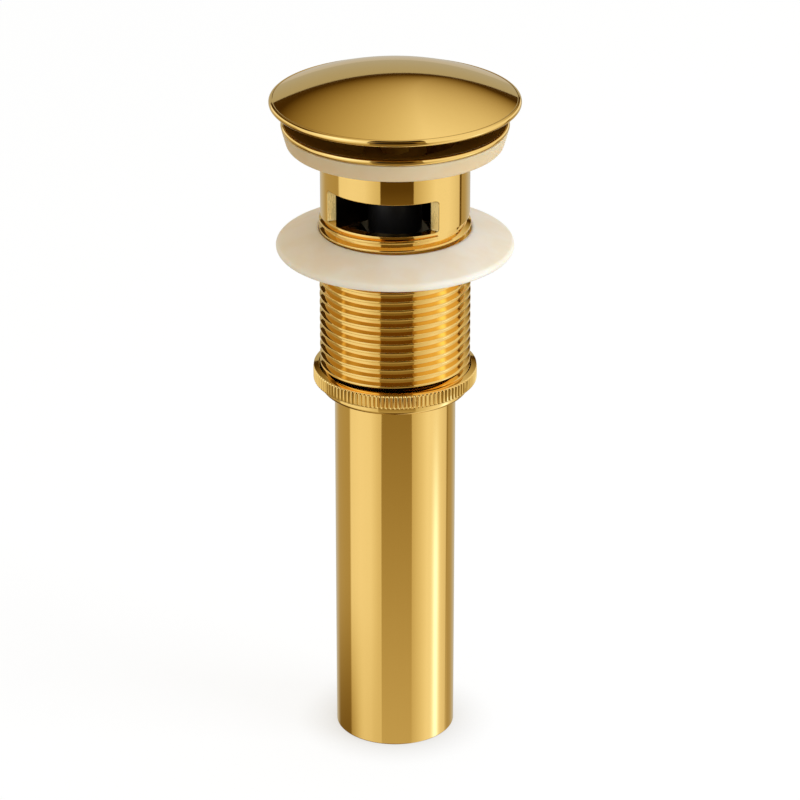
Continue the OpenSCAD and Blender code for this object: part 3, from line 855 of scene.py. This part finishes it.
class WASTE_OT_seals(bpy.types.Operator):
    """Model the cream basin seals, the O-rings and the gaskets."""

    bl_idname = "waste.seals"
    bl_label = "Seals"

    def execute(self, context):
        sizes = context.scene.waste_sizes
        neck_r = THREAD_R - sizes.neck_step + sizes.fit
        low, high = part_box("upper_seal")
        inner_top = high.z - sizes.dish_drop
        seal = turned("upper_seal_soft", softened([
            (neck_r, low.z, 0.3 * MM),
            (high.x - 1.35 * MM, low.z, 1.4 * MM),
            (high.x, high.z, 0.3 * MM),
            (high.x - 0.6 * MM, high.z, 0),
            (neck_r, inner_top, 0),
        ], 8))
        # The upper seal gets the shaded copy of the cream rubber: painted shade under the flange
        complete(seal, "waste", "shaded_milky_rubber", "cream_rubber", "upper_seal")

        low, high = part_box("tapered_washer")
        bore_r = THREAD_R + 0.1 * MM
        rim_r = 1.2 * MM
        rim = (high.x - rim_r, low.z + rim_r)
        top = Vector((bore_r + 0.6 * MM, high.z))
        rise = top - Vector(rim)
        touch = math.degrees(math.atan2(rise.y, rise.x) - math.acos(rim_r / rise.length))
        outline = arc(rim, rim_r, -90, touch, steps=20)
        outline += softened([
            (*outline[-1], 0),
            (*top, 0.5 * MM),
            (bore_r, high.z, 0.2 * MM),
            (bore_r, low.z, 0.3 * MM),
            (*outline[0], 0),
        ], 6)[1:-1]
        washer = turned("tapered_washer_soft", outline)
        complete(washer, "washer", "milky_rubber", "cream_rubber", "tapered_washer")

        for node, body in (("cap_seal", "plug"), ("gland_seal", "waste")):
            self.o_ring(node, body)
        edge = 0.2 * MM
        for node, inner in (("barrel_gasket", 7.05 * MM), ("tail_gasket", TUBE_BORE_R + 0.1 * MM)):
            low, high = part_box(node)
            section = softened([
                (inner, low.z, edge), (high.x, low.z, edge), (high.x, high.z, edge), (inner, high.z, edge)])
            gasket = turned(node + "_soft", section, steps=COARSE_STEPS)
            complete(gasket, "waste", "matt_rubber", "black_rubber", node)
        return {"FINISHED"}

    @staticmethod
    def o_ring(node, body):
        """A round cord with the thin parting line of its mould inside and outside."""
        low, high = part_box(node)
        cord_r = (high.z - low.z) / 2
        centre = (high.x - cord_r, low.z + cord_r)
        flash = 0.02 * MM
        outline = []
        for side in (0, 180):
            outline += [(centre[0] + math.cos(math.radians(side)) * (cord_r + flash / 2), centre[1])]
            outline += arc(centre, cord_r - flash, side + 6, side + 174, 16)
        ring = turned(node + "_cord", outline, steps=COARSE_STEPS)
        complete(ring, body, "matt_rubber", "black_rubber", node)


class WASTE_OT_spring(bpy.types.Operator):
    """Wind the return spring."""

    bl_idname = "waste.spring"
    bl_label = "Spring"

    wire_d = 0.9 * MM
    turns = 7
    turn_steps = 40

    def execute(self, context):
        low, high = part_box("spring")
        coil_r = high.x - self.wire_d / 2
        length = high.z - low.z
        open_pitch = (length - 3 * self.wire_d) / (self.turns - 2)
        deselect()
        bpy.ops.curve.primitive_nurbs_path_add()
        spring = bpy.context.object
        spring.name = spring.data.name = "return_spring"
        curve = spring.data
        curve.splines.clear()
        line = curve.splines.new("POLY")
        steps = self.turns * self.turn_steps
        line.points.add(steps)
        for i, point in enumerate(line.points):
            turn = i / self.turn_steps
            closed = min(turn, 1) + max(turn - self.turns + 1, 0)
            rise = closed * self.wire_d + (turn - closed) * open_pitch
            angle = 2 * math.pi * turn
            point.co = (coil_r * math.cos(angle), coil_r * math.sin(angle), low.z + self.wire_d / 2 + rise, 1)
        curve.dimensions = "3D"
        curve.bevel_depth = self.wire_d / 2
        curve.bevel_resolution = 3
        curve.use_fill_caps = True
        bpy.ops.object.convert(target="MESH")
        complete(spring, "waste", "bright_steel", "steel", "spring")
        press = next(j for j in frame["joints"] if j["name"] == "cap_press")
        travel = -press["range_m"][0]
        1 - travel / length
        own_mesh(spring)
        return {"FINISHED"}


class WASTE_OT_cartridge(bpy.types.Operator):
    """Give the cartridge, the bridge and the stud their finishes."""

    bl_idname = "waste.cartridge"
    bl_label = "Cartridge"

    finishes = {
        "moulded_black": ("barrel", "spring_plug"),
        "moulded_white": ("ratchet_rotor",),
        "bright_steel": ("cap_stud", "stud_nut", "thrust_washer"),
        "raw_brass": ("bridge", "barrel_nut"),
        # The plunger and the gland are painted matt dark brown as shade under the cap
        "stained_brass": ("plunger", "gland"),
    }

    def execute(self, context):
        for finish, nodes in self.finishes.items():
            for node in nodes:
                mesh = frame["nodes"][node].data
                mesh.materials.clear()
                mesh.materials.append(finish_of(finish))
        return {"FINISHED"}


class WASTE_OT_stage(bpy.types.Operator):
    """Set up the white studio, its floor, lamp and camera."""

    bl_idname = "waste.stage"
    bl_label = "Stage"

    # Tint of the even light from the left
    left_fill = (1, 0.89, 0.69)
    # Brightness of the studio's floor by compass bearing, from behind the part round by the left and back again
    floor_levels = (
        (-180, 0.50), (-98, 0.47), (-95, 0.95), (-70, 1.0), (-48, 0.97), (-32, 0.80), (-24, 0.74), (30, 0.62),
        (50, 0.84), (65, 1.0), (90, 1.0), (104, 0.90), (116, 0.80), (118, 0.46), (180, 0.50))
    # Colour of the floor straight behind the part, and tint of the rear card above it
    rear_floor = (0.57, 0.55, 0.49)
    rear_tint = (1, 0.97, 0.8)
    # The lamp: its place to the right, towards the camera and up, the height it aims at, its size and tint
    lamp_place = (0.95, 0.35, 0.42)
    lamp_aim = 0.14
    lamp_size = 0.6
    lamp_tint = (0.88, 0.96, 1)
    # The floor as the camera sees it: its share of light and its own glow, with a painted contact shadow that dims
    # the glow close to the part
    floor_share = (0.24, 0.25, 0.27)
    floor_glow = 0.8
    painted_contact_shadow = (0.6, 0.58, 0.55)
    contact_reach = 12 * MM

    def execute(self, context):
        studio = context.scene.waste_studio
        self.set_world(context.scene, studio)
        self.lay_floor()
        self.hang_lamp(studio)
        self.place_camera(context.scene, studio)
        context.scene.view_settings.view_transform = "Standard"
        return {"FINISHED"}

    def set_world(self, scene, studio):
        """A white surround for the camera, the studio's cards for polished metal, and an even fill elsewhere."""
        scene.world = scene.world or bpy.data.worlds.new("studio")
        scene.world.use_nodes = True
        graph = Graph(scene.world.node_tree)
        camera, glossy, through = (
            graph.add("ShaderNodeLightPath", output=name)
            for name in ("Is Camera Ray", "Is Glossy Ray", "Is Transmission Ray"))
        seen = (camera + through).math("MINIMUM", 1)
        place = graph.add("ShaderNodeTexCoord", output="Generated")
        place = graph.add("ShaderNodeMapping", {}, {"Vector": place, "Rotation": (0, 0, -studio.azimuth)})
        right, back, up = graph.parts(place)
        neutral = (right.step(-0.5, 0.5) + seen).math("MINIMUM", 1)
        even = graph.add("ShaderNodeBackground", {}, {
            "Color": graph.mix(neutral, self.left_fill, (1, 1, 1)),
            "Strength": studio.fill + seen * (1 - studio.fill)})
        cards = self.studio_cards(graph, studio, right, back, up)
        lit = graph.add("ShaderNodeMixShader", {}, {0: glossy, 1: even, 2: cards})
        graph.add("ShaderNodeOutputWorld", {}, {"Surface": lit})

    def studio_cards(self, graph, studio, right, back, up):
        """The studio by compass bearing and height: bright sides, dark front, grey rear card and a soft sky."""
        degrees = 180 / math.pi
        bearing = right.math("ARCTAN2", back * -1) * degrees
        lift = up.math("ARCSINE") * degrees
        above = lift.step(-0.4, 0.4)

        # Below the horizon: the floor, bright at both sides, shaded low on the left and dim towards the camera
        floor = graph.levels(
            bearing / 360 + 0.5, [(angle / 360 + 0.5, level) for angle, level in self.floor_levels])
        left_shade = (0.14 + (1 - bearing.step(-105, -60)) * 0.5) * (1 - bearing.step(-45, -25))
        deep = lift.step(-32, -40)
        deep_shade = deep * 0.4 * (1 - bearing.within(35, 112, 8))
        shade = (1 - lift.step(-27, -30) * left_shade) * (1 - deep_shade)
        least = 0.015 + lift.step(-19, -13) * 0.16
        dim = (0.12 - (lift + 21.4) * 0.059).math("MAXIMUM", least).math("MINIMUM", 0.6)
        dim = dim * (1 - deep * 0.75)
        near = lift.step(-22, -25.5) * 4
        front = (bearing + near).step(-23, -22) * (1 - (bearing - near).step(28, 29))
        seam = bearing.within(117, 124, 2)
        floor = (floor * shade).blend(dim, (front + seam).math("MINIMUM", 1))

        # Above it: white sides, a sky that darkens to the back, and a card that leans over the part in front,
        # black overhead and round the camera and paler beside it
        height = up.math("MAXIMUM", 0.02)
        across = right / height
        behind = back / height
        aside = right / back.math("MAXIMUM", 0.02) + 0.12
        top = studio.rear_top - aside * aside * 0.95
        fade = (1 - ((behind * top).math("MAXIMUM", 0) / 0.93) ** 1.7).math("MAXIMUM", 0)
        sky = (fade * 0.85 * (1 + across * 1.1)).math("MINIMUM", 1.15 - behind * 0.36)
        sky = sky.math("MAXIMUM", 0.06).math("MINIMUM", 1)
        side = across.math("ABSOLUTE").step(1.4, 1.8)
        sky = sky.blend(1, (side + (1 - behind.step(-0.15, 0.2))).math("MINIMUM", 1))
        card = (0.20 - back * 0.27 - (right - 0.02).math("ABSOLUTE")).step(0, 0.015)
        card = card * (1 - back.step(0.3, 0.36))
        beside = 1 - bearing.within(-24, 24, 8) * lift.step(52, 40)
        paler = lift.step(66, 46) * (1 - back.step(-0.3, -0.1)) * beside
        sky = sky.blend(0.012 + paler * 0.3, card)

        # The rear card is highest a little left of the middle, and the floor straight behind is as plain
        rear = (top - up / back.math("MAXIMUM", 0.02)).step(-0.002, 0.004) * above
        rear = rear + (1 - above) * back.step(0.62, 0.86)
        level = floor.blend(sky, above)
        warm = graph.add("ShaderNodeCombineColor", {}, {0: level, 1: level ** 1.25, 2: level ** 2})
        plain = graph.mix(above, self.rear_floor, [studio.grey * k for k in self.rear_tint])
        cards = graph.add("ShaderNodeBackground", {}, {"Color": graph.mix(rear, warm, plain)})

        # Two lamps that only leave a bright line: one low on the right, one high on the left
        low_lamp = bearing.bell(86, 8) * lift.step(-24.3, -27.3) * (1 - deep) * 1.8
        high_lamp = bearing.bell(-55, 22) * lift.bell(28, 22) * 1.2
        glint = graph.add("ShaderNodeBackground", {}, {"Color": (0.25, 0.5, 1), "Strength": low_lamp + high_lamp})
        return graph.add("ShaderNodeAddShader", {}, {0: cards, 1: glint})

    def lay_floor(self):
        """A floor that the camera sees as white, with the part's shadow kept on it and a painted contact shadow in
        its glow close to the part.
        """
        deselect()
        bpy.ops.mesh.primitive_plane_add(size=8)
        floor = bpy.context.object
        floor.name = floor.data.name = "floor"
        material, graph = new_material("floor_white")
        open_sky = graph.add("ShaderNodeAmbientOcclusion", {"samples": 8}, {"Distance": self.contact_reach}, "AO")
        plain = graph.add("ShaderNodeBsdfPrincipled", {}, {
            "Base Color": (0.8, 0.8, 0.8), "Roughness": 0.5 + graph.noise(900) * 0.1, "Specular IOR Level": 0.0})
        seen = graph.add("ShaderNodeBsdfPrincipled", {}, {
            "Base Color": self.floor_share, "Roughness": 0.5, "Specular IOR Level": 0.0,
            # Painted contact shadow: the glow dims where the part closes off the open sky
            "Emission Color": graph.mix(open_sky, self.painted_contact_shadow, (1, 1, 1)),
            "Emission Strength": self.floor_glow})
        camera = graph.add("ShaderNodeLightPath", output="Is Camera Ray")
        graph.finish(graph.add("ShaderNodeMixShader", {}, {0: camera, 1: plain, 2: seen}))
        floor.data.materials.append(material)
        floor.visible_glossy = False

    def hang_lamp(self, studio):
        """One large soft lamp on the right."""
        deselect()
        turn = studio.azimuth
        right = Vector((math.cos(turn), math.sin(turn), 0))
        toward = Vector((math.sin(turn), -math.cos(turn), 0))
        aside, ahead, height = self.lamp_place
        place = right * aside + toward * ahead + Vector((0, 0, height))
        aim = Vector((0, 0, self.lamp_aim)) - place
        bpy.ops.object.light_add(type="AREA", location=place, rotation=aim.to_track_quat("-Z", "Y").to_euler())
        lamp = bpy.context.object
        lamp.name = "key_lamp"
        lamp.data.energy = studio.key
        lamp.data.color = self.lamp_tint
        lamp.data.size = self.lamp_size
        lamp.visible_glossy = False

    @staticmethod
    def place_camera(scene, studio):
        """The camera at the photograph's angle."""
        deselect()
        turn, lift = studio.azimuth, studio.elevation
        away = Vector((math.cos(lift) * math.sin(turn), -math.cos(lift) * math.cos(turn), math.sin(lift)))
        place = Vector((0, 0, studio.target)) + away * studio.distance
        bpy.ops.object.camera_add(location=place, rotation=away.to_track_quat("Z", "Y").to_euler())
        camera = bpy.context.object
        camera.data.lens = studio.lens
        camera.data.sensor_width = 36
        camera.data.shift_x, camera.data.shift_y = studio.shift
        camera.data.clip_start = 0.01
        scene.camera = camera


class WASTE_PT_panel(bpy.types.Panel):
    """Sizes, colours and steps of the basin waste."""

    bl_idname = "WASTE_PT_panel"
    bl_label = "Basin Waste"
    bl_space_type = "VIEW_3D"
    bl_region_type = "UI"
    bl_category = "Basin Waste"

    def draw(self, context):
        for group in (context.scene.waste_sizes, context.scene.waste_colours, context.scene.waste_studio):
            box = self.layout.box()
            for name in group.__annotations__:
                box.prop(group, name)
        for step in STEPS:
            self.layout.operator(step.bl_idname)


STEPS = (
    WASTE_OT_cap, WASTE_OT_body, WASTE_OT_thread, WASTE_OT_lock_nut, WASTE_OT_tail, WASTE_OT_seals,
    WASTE_OT_spring, WASTE_OT_cartridge, WASTE_OT_stage,
)
GROUPS = {"waste_sizes": WasteSizes, "waste_colours": WasteColours, "waste_studio": WasteStudio}


def register():
    for group in GROUPS.values():
        bpy.utils.register_class(group)
    for name, group in GROUPS.items():
        setattr(bpy.types.Scene, name, bpy.props.PointerProperty(type=group))
    for step in STEPS + (WASTE_PT_panel,):
        bpy.utils.register_class(step)


def unregister():
    for step in STEPS + (WASTE_PT_panel,):
        bpy.utils.unregister_class(step)
    for name, group in GROUPS.items():
        delattr(bpy.types.Scene, name)
        bpy.utils.unregister_class(group)


def main():
    """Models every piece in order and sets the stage."""
    register()
    for step in STEPS:
        family, name = step.bl_idname.split(".")
        getattr(getattr(bpy.ops, family), name)()
    deselect()


if __name__ == "__main__":
    main()
